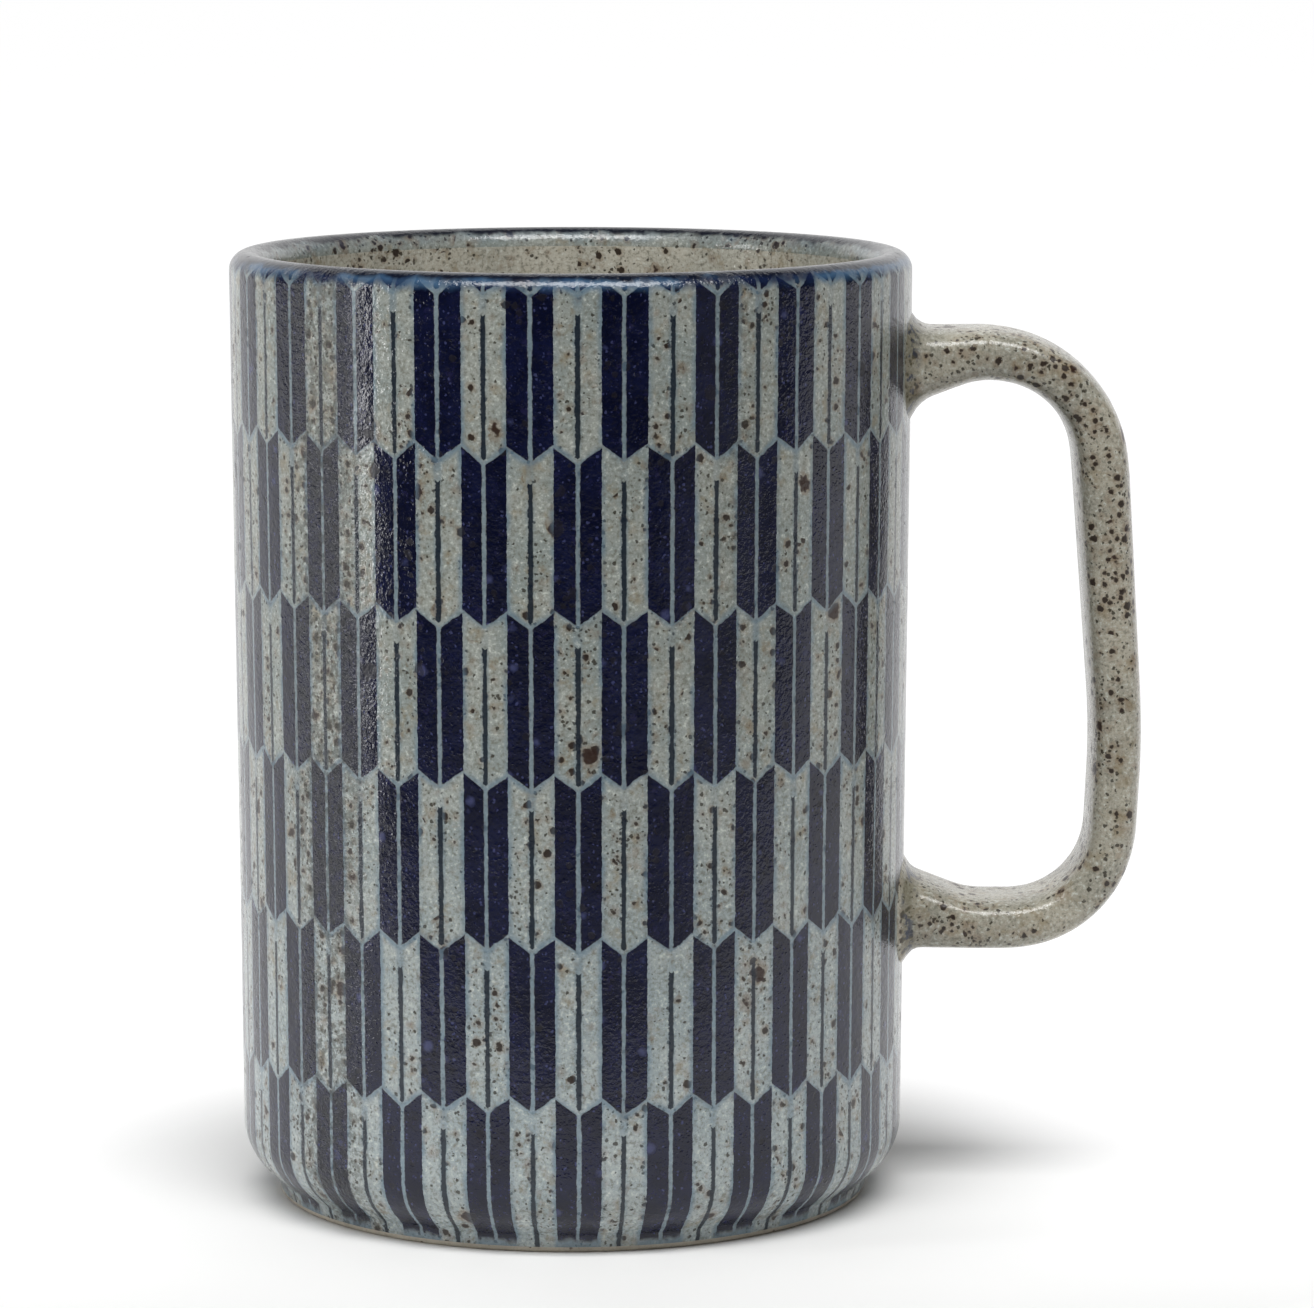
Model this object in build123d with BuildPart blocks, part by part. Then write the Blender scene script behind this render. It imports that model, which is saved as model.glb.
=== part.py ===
from build123d import *
import os

os.makedirs("parts", exist_ok=True)

# Millimetres. The cup stands on z = 0, its axis is Z and the handle points along +X.

# Finished (glazed) cup
cup_height = 116.0
rim_radius = 41.5
lip_radius = 2.3  # the lip is a full round, so the wall is twice this at the rim
corner_radius = 40.6
corner_height = 5.8
corner_round = 7.4
step_radius = 36.7  # the slope under the corner ends here, and the foot wall drops nearly straight
step_height = 2.2
foot_radius = 36.1

# Inside and underside
floor_height = 7.0
bore_low_radius = 35.6
bore_round = 8.0
recess_radius = 31.4
recess_depth = 2.0
foot_edge_round = 0.6

# Glaze coat
glaze = 0.3
glaze_line = 0.7  # the foot is wiped bare below this height
coat_parting = 0.05  # the handle's glaze ends this far off the wall's glaze, in place of a feather edge

# Handle strap, seen from the side
strap_width = 15.0
strap_edge_round = 2.6
strap_root = 39.0  # the strap is drawn from inside the wall and trimmed to it
strap_top = 106.65
strap_bottom = 30.25
gap_top = 100.27
gap_bottom = 36.6
bend_height = 57.0  # the upright run is furthest out here
upper_root_height = 96.4  # underside of the flared upper root, at strap_root
lower_root_height = 40.6  # top side of the flared lower root, at strap_root

# Each bend of the strap: how far out its corner is, and its radius
outer_top_reach, outer_top_round = 66.95, 17.6
outer_bend_reach, outer_bend_round = 69.95, 100.0
outer_low_reach, outer_low_round = 68.5, 15.7
gap_top_reach, gap_top_round = 60.42, 10.0
gap_bend_reach, gap_bend_round = 63.75, 80.0
gap_low_reach, gap_low_round = 62.8, 9.1
upper_flare_reach, upper_flare_round = 49.0, 8.0
lower_flare_reach, lower_flare_round = 48.7, 9.0

# Joints: a layer of slip sticks the strap to the wall, and both roots are smoothed over
slip_layer = 0.5
slip_parting = 0.03  # clearance between the slip and the wall it sits on
upper_root_round = 3.0
lower_root_round = 1.6

# Box that holds the handle side of the mug
reach_length = 44.0
reach_width = 32.0
reach_height = 92.0
reach_centre = (58.0, 0, 66.0)

lip_height = cup_height - lip_radius
lip_centre_radius = rim_radius - lip_radius
bore_radius = lip_centre_radius - lip_radius

# Turned shapes are drawn on the side away from the handle, so no seam runs under its roots.
turning_plane = Plane(origin=(0, 0, 0), x_dir=(-1, 0, 0), z_dir=(0, 1, 0))


def wall_points(inset):
    """Outside of the cup from the foot up to the lip's widest point."""
    foot = (foot_radius - inset, 0)
    step = (step_radius - inset, step_height)
    corner = (corner_radius - inset, corner_height)
    lip = (rim_radius - inset, lip_height)
    return [foot, step, corner, lip]


def bore_points(inset):
    """Inside of the cup from the lip down to its axis."""
    lip = (bore_radius + inset, lip_height)
    corner = (bore_low_radius + inset, floor_height - inset)
    axis = (0, floor_height - inset)
    return [lip, corner, axis]


def round_corner(sketch, x, z, radius):
    """Round the corner of a side-view sketch nearest to the given place."""
    corner = sketch.vertices().sort_by_distance(Vector(x, z))[0]
    fillet(corner, radius=radius)


def cup_envelope(inset):
    """The cup's outside as one solid, up to the lip's widest point."""
    with BuildPart() as envelope:
        with BuildSketch(turning_plane) as outline:
            with BuildLine():
                side = wall_points(inset)
                Polyline(*side, (0, lip_height), (0, 0), close=True)
            make_face()
            round_corner(outline, corner_radius - inset, corner_height, corner_round)
        revolve(axis=Axis.Z)
    return envelope.part


def strap_bar(inset):
    """The handle strap, running on into the cup wall at both roots."""
    outer_corners = [
        (outer_top_reach - inset, strap_top - inset, outer_top_round - inset),
        (outer_bend_reach - inset, bend_height, outer_bend_round),
        (outer_low_reach - inset, strap_bottom + inset, outer_low_round - inset),
    ]
    inner_corners = [
        (upper_flare_reach, gap_top + inset, upper_flare_round),
        (gap_top_reach + inset, gap_top + inset, gap_top_round + inset),
        (gap_bend_reach + inset, bend_height, gap_bend_round),
        (gap_low_reach + inset, gap_bottom - inset, gap_low_round + inset),
        (lower_flare_reach, gap_bottom - inset, lower_flare_round),
    ]
    with BuildPart() as bar:
        with BuildSketch(Plane.XZ) as side_view:
            with BuildLine():
                outer = [(x, z) for x, z, bend in outer_corners]
                inner = [(x, z) for x, z, bend in inner_corners]
                Polyline(
                    (strap_root, strap_top - inset),
                    *outer,
                    (strap_root, strap_bottom + inset),
                    (strap_root, lower_root_height - inset),
                    *reversed(inner),
                    (strap_root, upper_root_height + inset),
                    close=True,
                )
            make_face()
            for x, z, bend in outer_corners + inner_corners:
                round_corner(side_view, x, z, bend)
        half_width = strap_width / 2 - inset
        extrude(amount=half_width, both=True)
        flanks = bar.faces().filter_by(Axis.Y)
        long_edges = flanks.edges().filter_by(lambda edge: edge.center().X > strap_root + 1)
        fillet(long_edges, radius=strap_edge_round - inset)
    return bar.part


def joined_mug(inset):
    """Cup envelope and strap as one solid with rounded joints at the two roots."""
    with BuildPart() as mug:
        add(cup_envelope(inset))
        add(strap_bar(inset))
        joints = mug.edges(Select.NEW).group_by(lambda edge: edge.center().Z > bend_height)
        lower_joint, upper_joint = joints
        fillet(upper_joint, radius=upper_root_round + inset)
        fillet(lower_joint, radius=lower_root_round + inset)
    return mug.part


slip_bed = cup_envelope(glaze - slip_parting)
slip_envelope = cup_envelope(glaze - slip_layer)
parting_envelope = cup_envelope(-coat_parting)
clay_mug = joined_mug(glaze)
glazed_mug = joined_mug(0)

# Keeps the handle side of a joined mug
with BuildPart() as handle_side:
    with Locations(reach_centre):
        Box(reach_length, reach_width, reach_height)

# ---- Cup body: wall, floor and foot ring in one piece of stoneware ----
with BuildPart() as cup_body:
    with BuildSketch(turning_plane) as body_section:
        with BuildLine():
            side = wall_points(glaze)
            bore = bore_points(glaze)
            Polyline(*side)
            ThreePointArc(side[-1], (lip_centre_radius, cup_height - glaze), bore[0])
            Polyline(*bore, (0, recess_depth), (recess_radius, recess_depth), (recess_radius, 0), side[0])
        make_face()
        round_corner(body_section, corner_radius - glaze, corner_height, corner_round)
        round_corner(body_section, bore_low_radius + glaze, floor_height - glaze, bore_round + glaze)
        round_corner(body_section, foot_radius - glaze, 0, foot_edge_round)
        round_corner(body_section, recess_radius, 0, foot_edge_round)
    revolve(axis=Axis.Z)

# ---- Handle: the bare strap with its roots, cut to the curve of the slip layer ----
with BuildPart() as handle:
    add(clay_mug)
    add(handle_side.part, mode=Mode.INTERSECT)
    add(slip_envelope, mode=Mode.SUBTRACT)

# ---- Slip that sticks each root to the wall ----
with BuildPart() as slips:
    add(clay_mug)
    add(handle_side.part, mode=Mode.INTERSECT)
    add(slip_bed, mode=Mode.SUBTRACT)
    add(slip_envelope, mode=Mode.INTERSECT)
lower_slip_solid, upper_slip_solid = slips.solids().sort_by(Axis.Z)

with BuildPart() as lower_handle_slip:
    add(lower_slip_solid)

with BuildPart() as upper_handle_slip:
    add(upper_slip_solid)

# ---- Glaze on the outside of the cup, open where the handle is stuck on ----
with BuildPart() as outer_glaze:
    with BuildSketch(turning_plane) as coat_section:
        with BuildLine():
            Polyline(*wall_points(0), *reversed(wall_points(glaze)), close=True)
        make_face()
        round_corner(coat_section, corner_radius, corner_height, corner_round)
        round_corner(coat_section, corner_radius - glaze, corner_height, corner_round)
        with Locations((foot_radius, glaze_line / 2)):
            Rectangle(foot_radius, glaze_line, mode=Mode.SUBTRACT)
    revolve(axis=Axis.Z)
    add(clay_mug, mode=Mode.SUBTRACT)

# ---- Glaze on the handle and its roots ----
with BuildPart() as handle_glaze:
    add(glazed_mug)
    add(handle_side.part, mode=Mode.INTERSECT)
    add(parting_envelope, mode=Mode.SUBTRACT)
    add(clay_mug, mode=Mode.SUBTRACT)

# ---- Glaze inside the cup ----
with BuildPart() as inner_glaze:
    with BuildSketch(turning_plane) as lining_section:
        with BuildLine():
            Polyline(*bore_points(0), *reversed(bore_points(glaze)), close=True)
        make_face()
        round_corner(lining_section, bore_low_radius, floor_height, bore_round)
        lining_corner = (bore_low_radius + glaze, floor_height - glaze)
        round_corner(lining_section, *lining_corner, bore_round + glaze)
    revolve(axis=Axis.Z)

# ---- Coloured glaze band over the lip ----
with BuildPart() as rim_band:
    with BuildSketch(turning_plane):
        with BuildLine():
            ThreePointArc((rim_radius, lip_height), (lip_centre_radius, cup_height), (bore_radius, lip_height))
            Line((bore_radius, lip_height), (bore_radius + glaze, lip_height))
            ThreePointArc(
                (bore_radius + glaze, lip_height),
                (lip_centre_radius, cup_height - glaze),
                (rim_radius - glaze, lip_height),
            )
            Line((rim_radius - glaze, lip_height), (rim_radius, lip_height))
        make_face()
    revolve(axis=Axis.Z)

nodes = {
    "cup_body": cup_body,
    "handle": handle,
    "lower_handle_slip": lower_handle_slip,
    "upper_handle_slip": upper_handle_slip,
    "outer_glaze": outer_glaze,
    "handle_glaze": handle_glaze,
    "inner_glaze": inner_glaze,
    "rim_band": rim_band,
}
for node_name, node in nodes.items():
    node.part.label = node_name
    export_step(node.part, f"parts/{node_name}.step")
    print(node_name, len(node.part.solids()), round(node.part.volume), node.part.is_valid)
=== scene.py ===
import math

import bpy
import numpy as np
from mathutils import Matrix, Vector


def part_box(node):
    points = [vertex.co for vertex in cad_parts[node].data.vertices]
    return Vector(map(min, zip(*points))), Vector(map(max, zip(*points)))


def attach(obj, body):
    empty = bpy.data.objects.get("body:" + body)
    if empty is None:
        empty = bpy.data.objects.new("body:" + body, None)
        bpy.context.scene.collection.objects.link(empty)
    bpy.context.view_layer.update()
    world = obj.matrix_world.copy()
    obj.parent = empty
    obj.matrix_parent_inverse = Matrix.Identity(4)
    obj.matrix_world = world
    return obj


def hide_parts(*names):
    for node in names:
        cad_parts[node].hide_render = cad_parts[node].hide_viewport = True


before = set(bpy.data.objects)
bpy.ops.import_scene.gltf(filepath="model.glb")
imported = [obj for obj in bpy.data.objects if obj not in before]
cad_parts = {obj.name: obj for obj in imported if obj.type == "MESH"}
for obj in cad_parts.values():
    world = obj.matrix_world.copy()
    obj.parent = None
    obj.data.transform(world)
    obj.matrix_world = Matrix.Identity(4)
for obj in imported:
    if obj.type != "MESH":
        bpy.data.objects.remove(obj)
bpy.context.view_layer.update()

MM = 0.001

# ---------------------------------------------------------------- sizes, in millimetres
rim_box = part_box("rim_band")
glaze_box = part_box("outer_glaze")

cup_height = rim_box[1].z / MM
rim_radius = rim_box[1].y / MM
lip_height = glaze_box[1].z / MM
lip_radius = cup_height - lip_height
lip_centre_radius = rim_radius - lip_radius
glaze_line = glaze_box[0].z / MM
foot_radius = 36.1
step_radius, step_height = 36.7, 2.2
corner_radius, corner_height, corner_round = 40.6, 5.8, 7.4
floor_height = 7.0
bore_low_radius, bore_round = 35.6, 8.0
bore_radius = lip_centre_radius - lip_radius
recess_radius, recess_depth = 31.4, 2.0
foot_edge_round = 0.6
step_round = 0.5
line_radius = foot_radius + (step_radius - foot_radius) * glaze_line / step_height

strap_width = 15.0
strap_top, strap_bottom = 106.65, 30.25
gap_top, gap_bottom = 100.27, 36.6
bend_height = 57.0
upper_root_round, lower_root_round = 3.0, 1.8
upper_root_height, lower_root_height = 96.4, 40.6  # where the flared roots meet the wall
root_depth = 2.5  # the tube's open ends are buried this deep in the wall

# Each bend of the strap: how far out its corner is, and its radius
outer_top, outer_bend, outer_low = (66.95, 17.6), (69.95, 100.0), (68.5, 15.7)
gap_top_bend, gap_bend, gap_low_bend = (60.42, 10.0), (63.75, 80.0), (62.8, 9.1)
upper_flare, lower_flare = (49.0, 8.0), (48.7, 9.0)

# The painted feathers
row_count = 6
first_row_top = 115.55
row_pitch = 19.2
column_count = 46
feather_drop = 2.0
pattern_turn = 0.254
pattern_bunching = 0.165


# ---------------------------------------------------------------- profile curves
def arc_points(before, corner, after, radius, count):
    """Points round one corner of a line, from its first tangent point to its second."""
    corner = np.array(corner, float)
    back = np.array(before, float) - corner
    ahead = np.array(after, float) - corner
    back /= np.linalg.norm(back)
    ahead /= np.linalg.norm(ahead)
    half_angle = math.acos(np.clip(back @ ahead, -1, 1)) / 2
    reach = radius / math.tan(half_angle)
    middle = back + ahead
    middle /= np.linalg.norm(middle)
    centre = corner + middle * radius / math.sin(half_angle)
    start, end = corner + back * reach - centre, corner + ahead * reach - centre
    turn = math.pi - 2 * half_angle
    points = []
    for i in range(count + 1):
        share = i / count
        near = math.sin((1 - share) * turn) / math.sin(turn)
        far = math.sin(share * turn) / math.sin(turn)
        points.append(centre + near * start + far * end)
    return points


def line_points(start, end, spacing):
    """Points along a straight run, both ends included."""
    start, end = np.array(start, float), np.array(end, float)
    count = max(1, round(np.linalg.norm(end - start) / spacing))
    return [start + (end - start) * i / count for i in range(count + 1)]


def rounded_path(corners, spacing, arc_steps):
    """Points along a line through (x, z, radius) corners, rounded where the radius isn't 0."""
    path = []
    last = np.array(corners[0][:2], float)
    for i in range(1, len(corners)):
        here = corners[i]
        if i < len(corners) - 1 and here[2] > 0:
            bend = arc_points(corners[i - 1][:2], here[:2], corners[i + 1][:2], here[2], arc_steps)
        else:
            bend = [np.array(here[:2], float)]
        path += line_points(last, bend[0], spacing)[:-1] + bend[:-1]
        last = bend[-1]
    return path + [last]


# ---------------------------------------------------------------- turned surface
turns = 480
first_ring = 0.6  # the innermost ring of the underside and of the lining
axis_gap = 0.7  # a ring this close to the axis is closed over


def wobble(around, height):
    """How far the hand-finished wall stands from a true circle, in mm."""
    oval = 0.05 * np.sin(2 * around + 0.7) * height / cup_height
    broad = 0.03 * np.sin(3 * around + height / 21) + 0.02 * np.sin(5 * around - height / 13 + 2)
    fine = 0.012 * np.sin(11 * around + height / 7) * np.sin(height / 5.3 + 3 * np.cos(around))
    return oval + broad + fine


def turned_grid(path, rough):
    """Places and normals of a surface turned about Z. rough is the share of wobble along the path."""
    around = np.linspace(0, 2 * math.pi, turns, endpoint=False)
    radius, height = np.array(path).T
    spread = radius[:, None] + wobble(around[None, :], height[:, None]) * np.array(rough)[:, None]
    places = np.stack(
        [
            spread * np.sin(around)[None, :],
            -spread * np.cos(around)[None, :],
            np.repeat(height[:, None], turns, 1),
        ],
        axis=-1,
    )
    along = np.gradient(places, axis=0)
    across = np.roll(places, -1, axis=1) - np.roll(places, 1, axis=1)
    normals = np.cross(across, along)
    length = np.linalg.norm(normals, axis=-1, keepdims=True)
    normals = normals / np.maximum(length, 1e-9)
    return places, normals


def mesh_object(name, places, faces, normals=None):
    """A smooth mesh object from places in mm."""
    mesh = bpy.data.meshes.new(name)
    mesh.from_pydata([tuple(p) for p in np.array(places) * MM], [], faces)
    mesh.validate()
    mesh.polygons.foreach_set("use_smooth", [True] * len(mesh.polygons))
    if normals is not None:
        mesh.normals_split_custom_set_from_vertices([tuple(n) for n in normals])
    mesh.update()
    piece = bpy.data.objects.new(name, mesh)
    bpy.context.scene.collection.objects.link(piece)
    return piece


def turned_piece(name, places, normals, first, last):
    """The part of a turned surface between two stations of its path, closed where it meets the axis."""
    rows = last - first + 1
    points = list(places[first : last + 1].reshape(-1, 3))
    directions = list(normals[first : last + 1].reshape(-1, 3))
    faces = []
    for i in range(rows - 1):
        for j in range(turns):
            k = (j + 1) % turns
            a, b, c, d = i * turns + j, i * turns + k, (i + 1) * turns + k, (i + 1) * turns + j
            faces.append((a, b, c, d))
    for station, row, outward in ((first, 0, False), (last, rows - 1, True)):
        ring = places[station]
        if np.hypot(ring[0][0], ring[0][1]) > axis_gap:
            continue
        centre = len(points)
        points.append(np.array([0.0, 0.0, ring[:, 2].mean()]))
        directions.append(np.array([0.0, 0.0, 1.0 if outward else -1.0]))
        for j in range(turns):
            near, far = row * turns + j, row * turns + (j + 1) % turns
            faces.append((near, far, centre) if outward else (far, near, centre))
    return mesh_object(name, points, faces, directions)


# ---------------------------------------------------------------- handle
def handle_sides():
    """Matched points along the outer and inner sides of the strap, seen from the side."""
    root = rim_radius - root_depth
    outer = [
        (root, strap_top, 0),
        (upper_flare[0], strap_top, 0),
        (outer_top[0], strap_top, outer_top[1]),
        (outer_bend[0], bend_height, outer_bend[1]),
        (outer_low[0], strap_bottom, outer_low[1]),
        (lower_flare[0], strap_bottom, 0),
        (root, strap_bottom, 0),
    ]
    inner = [
        (root, upper_root_height, 0),
        (upper_flare[0], gap_top, upper_flare[1]),
        (gap_top_bend[0], gap_top, gap_top_bend[1]),
        (gap_bend[0], bend_height, gap_bend[1]),
        (gap_low_bend[0], gap_bottom, gap_low_bend[1]),
        (lower_flare[0], gap_bottom, lower_flare[1]),
        (root, lower_root_height, 0),
    ]
    line_steps, arc_steps = (14, 22, 26, 26, 22, 14), (8, 26, 16, 26, 8)
    sides = []
    for corners in (outer, inner):
        pieces = []
        last = np.array(corners[0][:2], float)
        for i in range(1, len(corners) - 1):
            here, steps = corners[i], arc_steps[i - 1]
            if here[2] > 0:
                before, after = corners[i - 1][:2], corners[i + 1][:2]
                bend = arc_points(before, here[:2], after, here[2], steps)
            else:
                half = np.array([1.2 if i == 1 else -1.2, 0.0])
                middle = np.array(here[:2], float)
                bend = [middle - half + 2 * half * s / steps for s in range(steps + 1)]
            run = [last + (bend[0] - last) * s / line_steps[i - 1] for s in range(line_steps[i - 1])]
            pieces += run + bend[:-1]
            last = bend[-1]
        end = np.array(corners[-1][:2], float)
        pieces += [last + (end - last) * s / line_steps[-1] for s in range(line_steps[-1] + 1)]
        sides.append(np.array(pieces))
    return sides


def smooth_line(points, rounds):
    """Eases the joins between runs and bends, ends kept."""
    points = points.copy()
    for _ in range(rounds):
        points[1:-1] += 0.5 * ((points[:-2] + points[2:]) / 2 - points[1:-1])
    return points


def build_handle():
    """The glazed strap as one tube whose two roots flare onto the wall."""
    outer, inner = (smooth_line(side, 6) for side in handle_sides())
    section_steps = 64
    roundness = 3.4
    angles = np.linspace(0, 2 * math.pi, section_steps, endpoint=False)
    cos, sin = np.cos(angles), np.sin(angles)
    thick = np.sign(cos) * np.abs(cos) ** (2 / roundness)
    wide = np.sign(sin) * np.abs(sin) ** (2 / roundness)
    rings = []
    for k in range(len(outer)):
        middle = (outer[k] + inner[k]) / 2
        half = (outer[k] - inner[k]) / 2
        thickness = np.linalg.norm(half)
        direction = half / thickness
        out_z = direction[1]
        clear = middle[0] - rim_radius
        upper = middle[1] > bend_height
        flare_round = upper_root_round if upper else lower_root_round
        flare = 0.0
        near = max(clear + 0.35, 0.0)
        if near < flare_round:
            flare = flare_round - math.sqrt(max(flare_round**2 - (flare_round - near) ** 2, 0))
        ripple = 0.06 * math.sin(k / 9) + 0.04 * math.sin(k / 4.1 + 1)
        half_width = strap_width / 2 + ripple + flare
        half_thick = thickness + flare * abs(out_z)
        x = middle[0] + direction[0] * half_thick * thick
        z = middle[1] + direction[1] * half_thick * thick
        y = half_width * wide
        hug = np.clip(1 - clear / 9.0, 0, 1) ** 2
        wall = rim_radius - np.sqrt(np.maximum(rim_radius**2 - y**2, 0))
        x = x - wall * hug
        rings.append(np.stack([x, y, z], axis=-1))
    places = np.concatenate(rings)
    faces = []
    for i in range(len(rings) - 1):
        for j in range(section_steps):
            k = (j + 1) % section_steps
            a, b = i * section_steps + j, i * section_steps + k
            faces.append((a, b, b + section_steps, a + section_steps))
    return mesh_object("handle_strap", places, faces)


# ---------------------------------------------------------------- node materials
class Signal:
    """A number that varies over a surface, with the usual arithmetic."""

    def __init__(self, graph, socket):
        self.graph = graph
        self.socket = socket

    def __add__(self, other):
        return self.graph.math("ADD", self, other)

    def __radd__(self, other):
        return self.graph.math("ADD", other, self)

    def __sub__(self, other):
        return self.graph.math("SUBTRACT", self, other)

    def __rsub__(self, other):
        return self.graph.math("SUBTRACT", other, self)

    def __mul__(self, other):
        return self.graph.math("MULTIPLY", self, other)

    def __rmul__(self, other):
        return self.graph.math("MULTIPLY", other, self)

    def __truediv__(self, other):
        return self.graph.math("DIVIDE", self, other)

    def __neg__(self):
        return self.graph.math("MULTIPLY", self, -1.0)


def linear(red, green, blue):
    """A display colour, 0 to 255 a channel, as the shader's linear colour."""
    channels = []
    for value in (red, green, blue):
        share = value / 255
        channels.append(share / 12.92 if share <= 0.04045 else ((share + 0.055) / 1.055) ** 2.4)
    return (*channels, 1.0)


class Graph:
    """Builds one material's nodes."""

    def __init__(self, name):
        self.material = bpy.data.materials.new(name)
        self.material.use_nodes = True
        self.tree = self.material.node_tree
        self.shader = self.tree.nodes["Principled BSDF"]

    def add(self, kind, **settings):
        node = self.tree.nodes.new(kind)
        for key, value in settings.items():
            setattr(node, key, value)
        return node

    def feed(self, socket, value):
        if isinstance(value, Signal):
            self.tree.links.new(value.socket, socket)
        else:
            socket.default_value = value

    def math(self, operation, *values, clamp=False):
        node = self.add("ShaderNodeMath", operation=operation, use_clamp=clamp)
        for socket, value in zip(node.inputs, values):
            self.feed(socket, value)
        return Signal(self, node.outputs[0])

    def smallest(self, first, *others, ease=0.0):
        for other in others:
            if ease:
                first = self.math("SMOOTH_MIN", first, other, ease)
            else:
                first = self.math("MINIMUM", first, other)
        return first

    def largest(self, first, *others):
        for other in others:
            first = self.math("MAXIMUM", first, other)
        return first

    def step(self, value, low, high):
        """0 below low, 1 above high, smooth between."""
        node = self.add("ShaderNodeMapRange", interpolation_type="SMOOTHSTEP")
        for socket, number in zip(node.inputs, (value, low, high, 0.0, 1.0)):
            self.feed(socket, number)
        return Signal(self, node.outputs[0])

    def mix(self, share, first, second):
        """Colour first where share is 0 and second where it is 1."""
        node = self.add("ShaderNodeMix", data_type="RGBA")
        self.feed(node.inputs[0], share)
        self.feed(node.inputs[6], first)
        self.feed(node.inputs[7], second)
        return Signal(self, node.outputs[2])

    def place(self):
        """The surface point in mm, as a vector and as three numbers."""
        coordinates = self.add("ShaderNodeTexCoord")
        scaled = self.add("ShaderNodeVectorMath", operation="SCALE")
        self.tree.links.new(coordinates.outputs["Object"], scaled.inputs[0])
        scaled.inputs["Scale"].default_value = 1 / MM
        split = self.add("ShaderNodeSeparateXYZ")
        self.tree.links.new(scaled.outputs[0], split.inputs[0])
        numbers = [Signal(self, output) for output in split.outputs]
        return Signal(self, scaled.outputs[0]), numbers

    def moved(self, place, shift, stretch=(1, 1, 1)):
        """The place shifted and stretched, so that two textures don't line up."""
        node = self.add("ShaderNodeMapping")
        self.feed(node.inputs["Vector"], place)
        node.inputs["Location"].default_value = shift
        node.inputs["Scale"].default_value = stretch
        return Signal(self, node.outputs[0])

    def noise(self, place, size, detail=2.0, rough=0.5, shift=(0, 0, 0), stretch=(1, 1, 1)):
        """Cloudy noise from 0 to 1 with features about size mm across."""
        node = self.add("ShaderNodeTexNoise")
        self.feed(node.inputs["Vector"], self.moved(place, shift, stretch))
        node.inputs["Scale"].default_value = 1 / size
        node.inputs["Detail"].default_value = detail
        node.inputs["Roughness"].default_value = rough
        return Signal(self, node.outputs[0])

    def spots(self, place, cell, share, smallest, largest, soft, shift=(0, 0, 0)):
        """Mask of round spots of random size in a share of cells, all in mm."""
        node = self.add("ShaderNodeTexVoronoi")
        self.feed(node.inputs["Vector"], self.moved(place, shift))
        node.inputs["Scale"].default_value = 1 / cell
        random = self.add("ShaderNodeSeparateColor")
        self.tree.links.new(node.outputs["Color"], random.inputs[0])
        chosen, size = Signal(self, random.outputs[0]), Signal(self, random.outputs[1])
        radius = smallest + (largest - smallest) * size * size
        inside = radius - Signal(self, node.outputs["Distance"]) * cell
        return self.step(inside, -soft, soft) * self.math("LESS_THAN", chosen, share)

    def bump(self, height, depth, below=None):
        """Tilts the normal by a height signal, depth mm deep at 1."""
        node = self.add("ShaderNodeBump")
        node.inputs["Strength"].default_value = 1.0
        node.inputs["Distance"].default_value = depth * MM
        self.feed(node.inputs["Height"], height)
        if below is not None:
            self.feed(node.inputs["Normal"], below)
        return Signal(self, node.outputs[0])

    def finish(self, colour, rough, normal):
        self.feed(self.shader.inputs["Base Color"], colour)
        self.feed(self.shader.inputs["Roughness"], rough)
        self.feed(self.shader.inputs["Normal"], normal)
        return self.material


def iron_specks(g, place, ragged, plenty, iron_and_sparkle_streak):
    """Masks of the iron spots that burn through the glaze: fine, medium, big, and their rusty halo."""
    # more specks along the streaks; along the left one they are painted sparkle, where the strip light's
    # reflection falls
    crowd = 0.24 + 1.4 * g.step(g.noise(place, 9.0, 2.0, 0.6, (40, 3, 6)), 0.4, 0.68) + iron_and_sparkle_streak
    torn = ragged_place(g, place, 1.5, 1.1)
    fine = g.spots(ragged, 0.62, crowd * plenty * 0.7, 0.1, 0.26, 0.045)
    medium = g.spots(ragged, 1.25, crowd * plenty * 0.62, 0.17, 0.54, 0.06, (31, 7, 3))
    big = g.spots(torn, 3.6, crowd * plenty * 0.5, 0.35, 1.05, 0.1, (5, 41, 17))
    halo = g.spots(ragged, 1.25, crowd * plenty * 0.62, 0.35, 0.9, 0.35, (31, 7, 3))
    big_halo = g.spots(torn, 3.6, crowd * plenty * 0.5, 0.7, 1.6, 0.5, (5, 41, 17))
    return fine, medium, big, g.largest(halo * 0.6, big_halo * 0.75)


def pale_glaze(g, place, ragged, plenty, cool, warm, iron_and_sparkle_streak=0.0):
    """Colour of the pale speckled glaze between two tints, with its iron specks laid on."""
    cloud = g.noise(place, 7.0, 3.0, 0.6)
    grain = g.noise(place, 0.5, 3.0, 0.7, (9, 2, 5))
    stain = g.noise(place, 2.6, 3.0, 0.65, (3, 17, 29))
    colour = g.mix(g.step(cloud, 0.38, 0.62), cool, warm)
    colour = g.mix(g.step(grain, 0.48, 0.68) * 0.7, colour, linear(104, 104, 92))
    colour = g.mix(g.step(grain, 0.46, 0.28) * 0.75, colour, linear(206, 210, 202))
    colour = g.mix(g.step(stain, 0.53, 0.72) * 0.5, colour, linear(132, 116, 84))
    fine, medium, big, halo = iron_specks(g, place, ragged, plenty, iron_and_sparkle_streak)
    colour = g.mix(halo * 0.6, colour, linear(116, 86, 52))
    colour = g.mix(fine * 0.85, colour, linear(44, 38, 28))
    colour = g.mix(medium * 0.95, colour, linear(36, 23, 15))
    colour = g.mix(big * 0.95, colour, linear(42, 22, 13))
    return colour, g.largest(fine * 0.4, medium, big)


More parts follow.
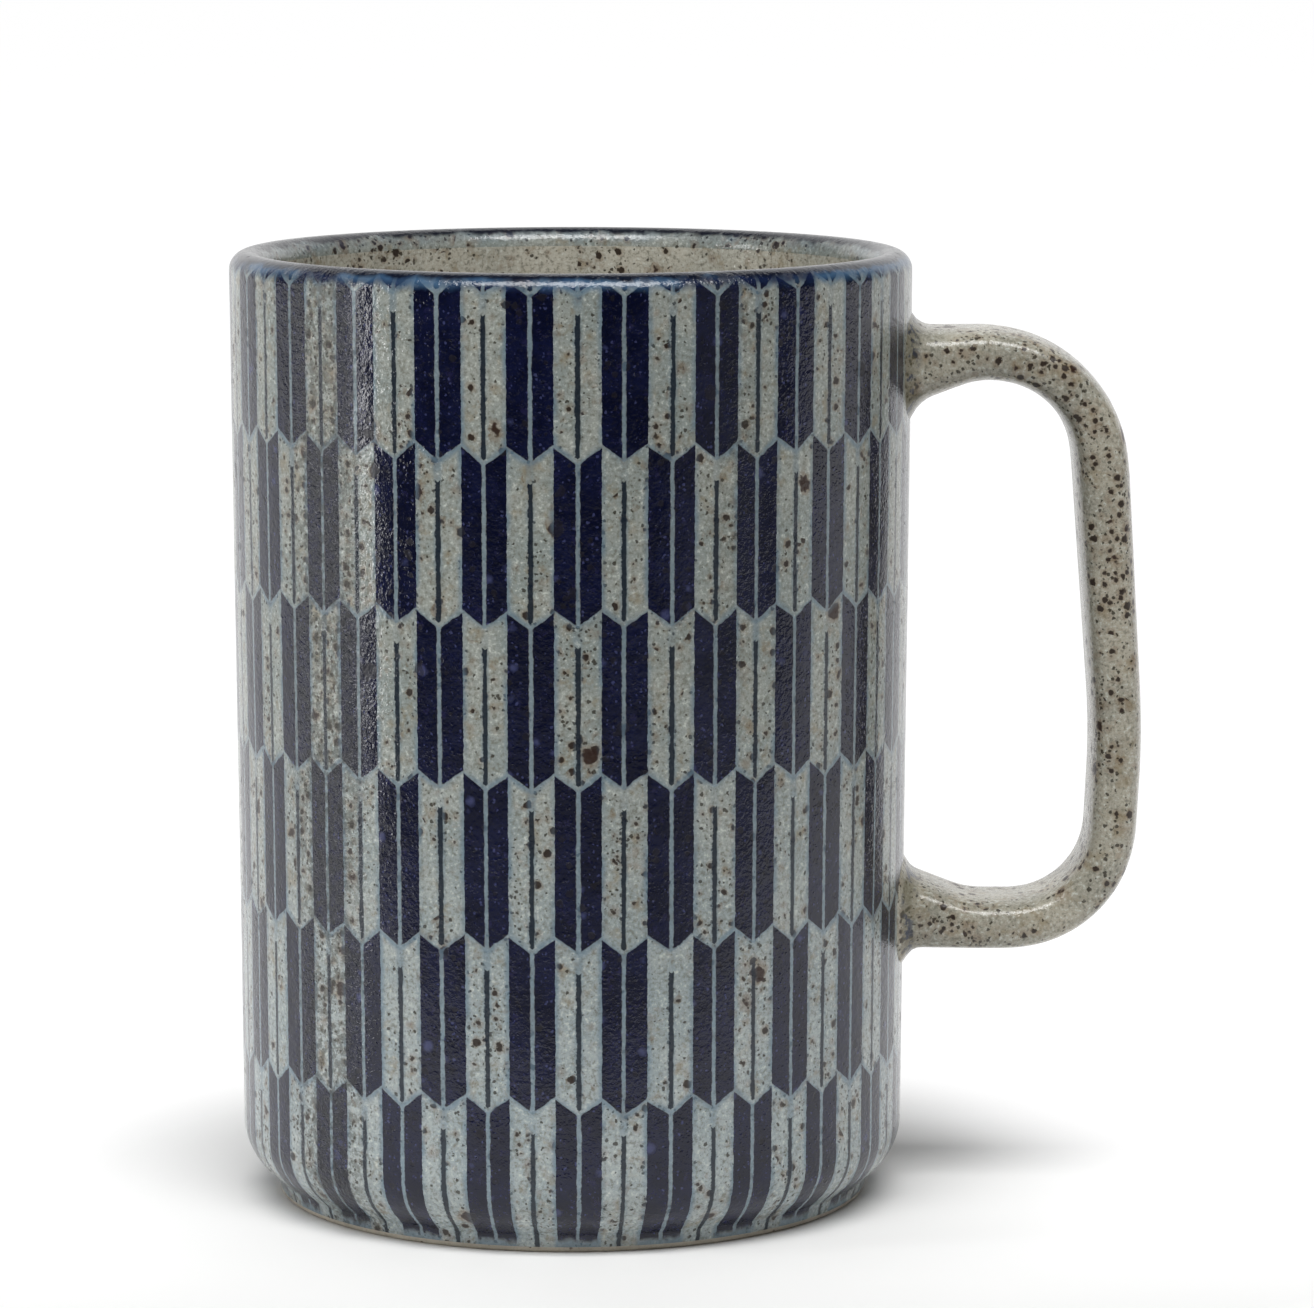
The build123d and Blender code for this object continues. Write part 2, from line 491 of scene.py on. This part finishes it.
def glaze_bump(g, place, ragged, spots, pitting=0.0):
    """Skin of a fired glaze: a broad swell, small pimples and shallow pits at the iron specks."""
    swell = g.noise(place, 4.5, 1.0, 0.5, (2, 3, 31))
    peel = g.noise(place, 0.75, 2.0, 0.6, (13, 1, 8))
    patch = g.step(g.noise(place, 9.0, 2.0, 0.6, (17, 30, 2)), 0.36, 0.6)
    pimples = g.spots(ragged, 0.42, 0.6, 0.06, 0.18, 0.13, (3, 9, 27)) * patch
    normal = g.bump(swell, 0.07)
    normal = g.bump(peel, 0.06, normal)
    normal = g.bump(pimples, 0.03, normal)
    pits = g.noise(place, 0.5, 2.0, 0.7, (23, 11, 6))
    normal = g.bump(pits * pitting, 0.2, normal)
    return g.bump(spots, -0.012, normal)


def ragged_place(g, place, amount, size):
    """The place pushed about by noise, so that spot edges aren't round."""
    node = g.add("ShaderNodeTexNoise")
    g.feed(node.inputs["Vector"], place)
    node.inputs["Scale"].default_value = 1 / size
    node.inputs["Detail"].default_value = 2.0
    centred = g.add("ShaderNodeVectorMath", operation="SUBTRACT")
    g.tree.links.new(node.outputs["Color"], centred.inputs[0])
    centred.inputs[1].default_value = (0.5, 0.5, 0.5)
    scaled = g.add("ShaderNodeVectorMath", operation="SCALE")
    g.tree.links.new(centred.outputs[0], scaled.inputs[0])
    scaled.inputs["Scale"].default_value = amount
    total = g.add("ShaderNodeVectorMath", operation="ADD")
    g.feed(total.inputs[0], place)
    g.tree.links.new(scaled.outputs[0], total.inputs[1])
    return Signal(g, total.outputs[0])


def feather_glaze(name):
    """Cobalt arrow feathers in rows round the wall, and the cobalt band over the lip."""
    g = Graph(name)
    place, (x, y, z) = g.place()
    ragged = ragged_place(g, place, 0.5, 0.5)
    radius = g.math("SQRT", x * x + y * y)
    past_lip_top = g.step(radius, lip_centre_radius + 0.2, lip_centre_radius + 1.0)
    outside = g.largest(past_lip_top, g.step(z, lip_height, 110.0))

    # Place within the pattern: column, row, and distances in mm inside one feather
    around = g.math("ARCTAN2", x, -y)
    ring = g.moved(place, (0, 0, 0), (1, 1, 0))
    drift = g.noise(ring, 9.0, 1.0, 0.5) - 0.5
    shiver = g.noise(place, 1.3, 3.0, 0.6, (3, 5, 7)) - 0.5
    fray = g.noise(place, 0.35, 2.0, 0.6, (6, 15, 4)) - 0.5
    column_width = 2 * math.pi * rim_radius / column_count
    columns = around * (column_count / (2 * math.pi)) + g.math("SINE", around) * pattern_bunching
    columns = columns + pattern_turn + drift * 0.2 + shiver * 0.05 + fray * 0.035
    column = g.math("FLOOR", columns)
    across = g.math("ABSOLUTE", g.math("FRACT", columns) - 0.5) * column_width
    half_column = column_width / 2
    drop = (1 - across / half_column) * feather_drop
    row_drift = g.noise(g.moved(place, (0, 0, 60), (1, 1, 0.25)), 11.0, 1.0) - 0.5
    depth = (first_row_top - z - drop + row_drift * 1.2 + shiver * 0.4) / row_pitch
    row = g.math("FLOOR", depth)
    within = g.math("FRACT", depth) * row_pitch
    light_cell = g.math("FLOORED_MODULO", column + row + 1, 2.0)
    dark_cell = 1 - light_cell

    # Distances to the feather's own edges
    lean = 0.86
    to_side = half_column - across
    to_top = within * lean
    to_bottom = (row_pitch - within) * lean
    wisp = g.noise(place, 2.4, 2.0, 0.6, (11, 13, 1)) - 0.5
    quill = 0.3 + wisp * 0.2
    from_quill = across - quill + 0.07
    half_feather = g.smallest(to_side + 0.16, from_quill, to_top - 0.14, to_bottom - 0.14, ease=0.3)
    above_foot = g.step(z + wisp * 1.6, 1.0, 1.9)
    inked = g.step(half_feather, -0.06, 0.09) * dark_cell * outside * above_foot
    stem_side = 0.29 + wisp * 0.3 + fray * 0.25 - across
    stem_gap = g.smallest(stem_side, within - 2.4, row_pitch - within - 0.5)
    stem = g.step(stem_gap, -0.08, 0.06) * light_cell * outside
    edge = g.smallest(to_side, to_top, to_bottom)
    bleed = 0.3 + 0.7 * g.step(g.noise(place, 5.0, 2.0, 0.6, (19, 2, 3)), 0.4, 0.62)
    halo = (1 - g.step(edge, 0.0, 0.85)) * bleed * light_cell
    stem_halo = g.step(0.75 - across, 0.0, 0.5) * bleed * light_cell * 0.6
    halo = g.largest(halo, stem_halo, dark_cell * (1 - inked) * 0.85) * outside

    # Cobalt over the lip, and the blue that ran down from it
    run = z + wisp * 0.7 + (g.noise(place, 3.2, 2.0, 0.6, (7, 9, 3)) - 0.5) * 1.2
    lip_halo = g.step(run, cup_height - 2.2, cup_height - 0.9) * (0.35 + 0.65 * outside)
    lip_band = g.step(run, cup_height - 0.95, cup_height - 0.35)

    # Colours; the iron crowds into an upright streak on the right. The left streak is painted sparkle:
    # extra specks and a dark mottle laid where the strip light's sparkling reflection falls on the wall
    sparkle_band_streak = 1 - g.step(g.math("ABSOLUTE", around + 0.77 + wisp * 0.1), 0.04, 0.2)
    right_streak = 1 - g.step(g.math("ABSOLUTE", around - 0.5 + wisp * 0.1), 0.0, 0.12)
    right_streak = right_streak * g.step(z, 60.0, 85.0)
    iron_and_sparkle_streak = sparkle_band_streak * 1.2 + right_streak * 0.6
    low = 1 - g.step(z, 15.0, 75.0)
    cool = g.mix(low, linear(140, 148, 144), linear(150, 161, 163))
    warm = g.mix(low, linear(154, 158, 151), linear(162, 170, 170))
    pale, spots = pale_glaze(g, place, ragged, 0.75, cool, warm, iron_and_sparkle_streak)
    pale = g.mix(halo * 0.72, pale, linear(94, 119, 136))
    smoke = g.noise(place, 4.2, 3.0, 0.6, (1, 22, 13))
    mottle = g.noise(place, 0.4, 3.0, 0.7, (8, 3, 2))
    violet = g.noise(place, 1.3, 3.0, 0.7, (23, 3, 12))
    dark = g.mix(g.step(smoke, 0.4, 0.6), linear(5, 9, 35), linear(13, 18, 48))
    dark = g.mix(g.step(mottle, 0.5, 0.72) * 0.8, dark, linear(3, 4, 14))
    dark = g.mix(g.step(violet, 0.56, 0.72) * 0.5, dark, linear(38, 36, 72))
    glints = g.spots(ragged, 0.55, 0.5, 0.05, 0.18, 0.07, (2, 6, 19))
    clouds = g.spots(ragged, 2.6, 0.35, 0.2, 0.65, 0.3, (12, 6, 9))
    dark = g.mix(g.largest(glints * 0.35, clouds * 0.35), dark, linear(92, 98, 146))
    # dark greenish mottle along the streaks: iron on the right one, painted sparkle texture of the strip
    # light's reflection on the left one
    iron_and_sparkle_mottle = g.step(g.noise(place, 1.1, 3.0, 0.7, (9, 14, 2)), 0.46, 0.56) * g.math("MINIMUM", iron_and_sparkle_streak, 1.0)
    dark = g.mix(spots * 0.55, dark, linear(20, 16, 16))
    dark = g.mix(iron_and_sparkle_mottle * 0.7, dark, linear(16, 21, 26))
    pale = g.mix(iron_and_sparkle_mottle * 0.55, pale, linear(52, 54, 44))
    colour = g.mix(inked, pale, dark)
    colour = g.mix(stem * 0.94, colour, linear(12, 24, 38))
    pooled = g.step(g.noise(place, 8.0, 2.0, 0.5, (2, 28, 9)), 0.42, 0.58)
    colour = g.mix(lip_halo * 0.85, colour, g.mix(pooled, linear(62, 92, 122), linear(20, 32, 62)))
    colour = g.mix(lip_band * 0.96, colour, linear(7, 11, 28))

    polish = g.noise(place, 2.0, 2.0, 0.5, (4, 4, 4))
    rough = 0.1 + polish * 0.12 + spots * 0.15
    pitting = g.math("MINIMUM", iron_and_sparkle_streak + 0.15, 1.0)
    return g.finish(colour, rough, glaze_bump(g, place, ragged, spots, pitting))


def plain_glaze(name, plenty, cool, warm):
    """Pale beige-grey glaze with iron specks, for the handle and the inside."""
    g = Graph(name)
    place, (x, y, z) = g.place()
    ragged = ragged_place(g, place, 0.5, 0.5)
    colour, spots = pale_glaze(g, place, ragged, plenty, cool, warm)
    radius = g.math("SQRT", x * x + y * y)
    outer = g.step(radius, rim_radius - 0.5, rim_radius)
    near = (1 - g.step(radius, rim_radius + 0.2, rim_radius + 2.0)) * outer
    smudge = g.step(g.noise(place, 1.8, 3.0, 0.65, (6, 1, 4)), 0.5, 0.62)
    colour = g.mix(near * 0.6, colour, linear(92, 88, 66))
    colour = g.mix(near * smudge * 0.85, colour, linear(30, 42, 66))
    polish = g.noise(place, 2.0, 2.0, 0.5, (4, 4, 4))
    rough = 0.14 + polish * 0.12 + spots * 0.15
    return g.finish(colour, rough, glaze_bump(g, place, ragged, spots))


def bare_clay():
    """Unglazed stoneware of the foot, with turning marks and dark grog."""
    g = Graph("bare_clay")
    place, (x, y, z) = g.place()
    ragged = ragged_place(g, place, 0.5, 0.5)
    radius = g.math("SQRT", x * x + y * y)
    cloud = g.noise(place, 6.0, 3.0, 0.6)
    grain = g.noise(place, 0.35, 3.0, 0.7, (9, 2, 5))
    marks = g.math("SINE", radius * 7.0 + cloud * 9.0)
    colour = g.mix(g.step(cloud, 0.35, 0.65), linear(168, 160, 146), linear(186, 178, 164))
    colour = g.mix(g.step(grain, 0.45, 0.75) * 0.5, colour, linear(138, 126, 108))
    colour = g.mix(g.step(marks, 0.2, 1.0) * 0.2, colour, linear(150, 138, 120))
    grog = g.spots(ragged, 1.2, 0.5, 0.08, 0.3, 0.06)
    colour = g.mix(grog * 0.8, colour, linear(70, 52, 40))
    normal = g.bump(marks, 0.02)
    normal = g.bump(grain, 0.03, normal)
    rough = 0.72 + grain * 0.18
    return g.finish(colour, rough, normal)


# ---------------------------------------------------------------- build the pieces
underside = rounded_path(
    [(first_ring, recess_depth, 0), (recess_radius, recess_depth, 1.0), (recess_radius, 0, foot_edge_round)]
    + [(foot_radius, 0, foot_edge_round), (line_radius, glaze_line, 0)],
    0.8,
    6,
)
wall_corners = [
    (line_radius, glaze_line, 0),
    (step_radius, step_height, step_round),
    (corner_radius, corner_height, corner_round),
    (rim_radius, lip_height, 0),
]
wall = rounded_path(wall_corners, 0.8, 12)
lip_steps = 24
lip = []
for i in range(lip_steps + 1):
    turn = math.pi * i / lip_steps
    out, up = lip_radius * math.cos(turn), lip_radius * math.sin(turn)
    lip.append(np.array([lip_centre_radius + out, lip_height + up]))
lining_corners = [
    (bore_radius, lip_height, 0),
    (bore_low_radius, floor_height, bore_round),
    (first_ring, floor_height, 0),
]
lining = rounded_path(lining_corners, 0.9, 16)
whole = underside + wall[1:] + lip[1:] + lining[1:]
wall_start = len(underside) - 1
lip_start = wall_start + len(wall) - 1
lining_start = lip_start + len(lip) - 1
heights = np.array(whole)[:, 1]
rough_share = np.zeros(len(whole))
rough_share[wall_start:lip_start] = np.clip((heights[wall_start:lip_start] - 6) / 12, 0, 1)
rough_share[lip_start:lining_start] = 1.0
rough_share[lining_start:] = np.clip((heights[lining_start:] - 12) / 20, 0, 1)
places, normals = turned_grid(whole, rough_share)

clay = bare_clay()
feathers = feather_glaze("feather_glaze")
cobalt = feather_glaze("lip_glaze")
lining_material = plain_glaze("lining_glaze", 1.0, linear(174, 172, 160), linear(188, 184, 170))
handle_material = plain_glaze("handle_glaze", 1.2, linear(157, 154, 141), linear(173, 168, 153))


def dress(piece, material, slot, *nodes):
    """Gives a piece its material and its place in the frame."""
    piece.data.materials.append(material)
    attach(piece, "root")
    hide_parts(*nodes)
    return piece


foot = turned_piece("bare_foot", places, normals, 0, wall_start)
dress(foot, clay, "stoneware", "cup_body")

cuts = [wall_start]
for row in range(row_count - 1, 0, -1):
    height = first_row_top - row_pitch * row - feather_drop / 2
    cuts.append(wall_start + int(np.argmin(np.abs(heights[wall_start:lip_start] - height))))
cuts.append(lip_start)
for row in range(row_count):
    ring = turned_piece(f"feather_row_{row_count - row}", places, normals, cuts[row], cuts[row + 1])
    dress(ring, feathers, "feather_glaze", "outer_glaze")

lip_piece = turned_piece("cobalt_lip", places, normals, lip_start, lining_start)
dress(lip_piece, cobalt, "cobalt_glaze", "rim_band")
lining_piece = turned_piece("glazed_lining", places, normals, lining_start, len(whole) - 1)
dress(lining_piece, lining_material, "clear_glaze", "inner_glaze")
handle = build_handle()
handle_nodes = ("handle_glaze", "handle", "upper_handle_slip", "lower_handle_slip")
dress(handle, handle_material, "clear_glaze", *handle_nodes)


# ---------------------------------------------------------------- studio
def paper(name):
    """Matt white paper for the floor. Near the object it only takes light; further off it glows with
    painted light that whitens the shadows falling there, and under that glow the paper itself is grey.
    """
    g = Graph(name)
    place, (x, y, z) = g.place()
    grain = g.noise(place, 60.0, 2.0, 0.5)
    away = g.math("SQRT", x * x + y * y)
    behind = g.step(away, 40.0, 80.0) * g.step(y, -80.0, -5.0)
    glow = g.largest(behind, g.step(away, 90.0, 130.0))
    g.shader.inputs["Emission Color"].default_value = (1, 1, 1, 1)
    # painted light: the paper's own glow, which lights the floor white past the object's shadows
    g.feed(g.shader.inputs["Emission Strength"], glow * 0.92)
    white = g.mix(g.step(grain, 0.3, 0.7), linear(243, 243, 242), linear(240, 240, 239))
    return g.finish(g.mix(glow, white, linear(108, 108, 108)), 0.9, g.bump(grain, 0.01))


def sweep_floor():
    """A pale sheet that ends just in front of the object and curves up behind it. In metres."""
    front, back, radius, bend_steps = -0.13, 1.6, 0.7, 24
    wall_steps, wall_step = 8, 0.3
    depth_points = []
    for y in np.linspace(front, back, 36):
        depth_points.append((y, 0.0))
    for i in range(1, bend_steps + 1):
        turn = math.pi / 2 * i / bend_steps
        depth_points.append((back + radius * math.sin(turn), radius - radius * math.cos(turn)))
    for i in range(1, wall_steps + 1):
        depth_points.append((back + radius, radius + i * wall_step))
    half_width, steps = 2.6, 26
    points, faces = [], []
    for y, z in depth_points:
        for i in range(steps + 1):
            points.append((-half_width + 2 * half_width * i / steps, y, z))
    for j in range(len(depth_points) - 1):
        for i in range(steps):
            a = j * (steps + 1) + i
            faces.append((a, a + 1, a + steps + 2, a + steps + 1))
    mesh = bpy.data.meshes.new("floor")
    mesh.from_pydata(points, [], faces)
    mesh.polygons.foreach_set("use_smooth", [True] * len(mesh.polygons))
    mesh.update()
    floor = bpy.data.objects.new("floor", mesh)
    bpy.context.scene.collection.objects.link(floor)
    floor.data.materials.append(paper("floor_paper"))


def soft_light(name, place, target, width, height, watts):
    """A rectangular softbox that faces a point."""
    data = bpy.data.lights.new(name, "AREA")
    data.shape = "RECTANGLE"
    data.size, data.size_y = width, height
    data.energy = watts
    light = bpy.data.objects.new(name, data)
    bpy.context.scene.collection.objects.link(light)
    light.location = place
    light.rotation_mode = "QUATERNION"
    light.rotation_quaternion = (Vector(target) - Vector(place)).to_track_quat("-Z", "Y")
    return light


sweep_floor()
middle = (0.0, 0.0, 0.06)  # the lights aim here, in metres
card_place = (0.0, -0.29, 0.0)  # lies face up in front of the floor, and shows dimly in the wall
soft_light("overhead_box", (0.0, -0.6, 1.15), middle, 1.2, 0.5, 18.0)
soft_light("strip_box", (-0.595, -0.173, 0.16), middle, 0.07, 0.42, 1.2)
front_card = soft_light("front_card", card_place, (0.0, -0.29, 1.0), 0.6, 0.3, 0.16)
front_card.visible_camera = False
soft_light("fill_card", (0.75, -0.55, 0.1), middle, 0.6, 0.8, 0.3)

# The room lights the object from behind and is dim in front. Seen straight, it is plain white.
world = bpy.data.worlds.new("studio")
bpy.context.scene.world = world
world.use_nodes = True
tree = world.node_tree
background = tree.nodes["Background"]
coordinates = tree.nodes.new("ShaderNodeTexCoord")
split = tree.nodes.new("ShaderNodeSeparateXYZ")
tree.links.new(coordinates.outputs["Generated"], split.inputs[0])
front_to_back = tree.nodes.new("ShaderNodeMapRange")
front_to_back.interpolation_type = "SMOOTHSTEP"
tree.links.new(split.outputs["Y"], front_to_back.inputs["Value"])
front_to_back.inputs["From Min"].default_value = 0.35
front_to_back.inputs["From Max"].default_value = 1.0
front_to_back.inputs["To Min"].default_value = 0.03
front_to_back.inputs["To Max"].default_value = 0.6
seen = tree.nodes.new("ShaderNodeLightPath")
pick = tree.nodes.new("ShaderNodeMix")
tree.links.new(seen.outputs["Is Camera Ray"], pick.inputs[0])
tree.links.new(front_to_back.outputs[0], pick.inputs[2])
pick.inputs[3].default_value = 1.0
tree.links.new(pick.outputs[0], background.inputs["Strength"])
background.inputs["Color"].default_value = (1, 1, 1, 1)

# ---------------------------------------------------------------- camera
focal_length = 156.05
look_down = 8.20  # degrees
camera_data = bpy.data.cameras.new("camera")
camera_data.sensor_fit = "HORIZONTAL"
camera_data.sensor_width = 36.0
camera_data.lens = focal_length
camera_data.clip_start, camera_data.clip_end = 0.05, 20.0
camera = bpy.data.objects.new("camera", camera_data)
bpy.context.scene.collection.objects.link(camera)
camera.location = (0.01048, -0.6921, 0.166)
camera.rotation_euler = (math.radians(90 - look_down), 0, 0)
bpy.context.scene.camera = camera
bpy.context.scene.view_settings.view_transform = "Standard"
bpy.context.scene.view_settings.look = "None"
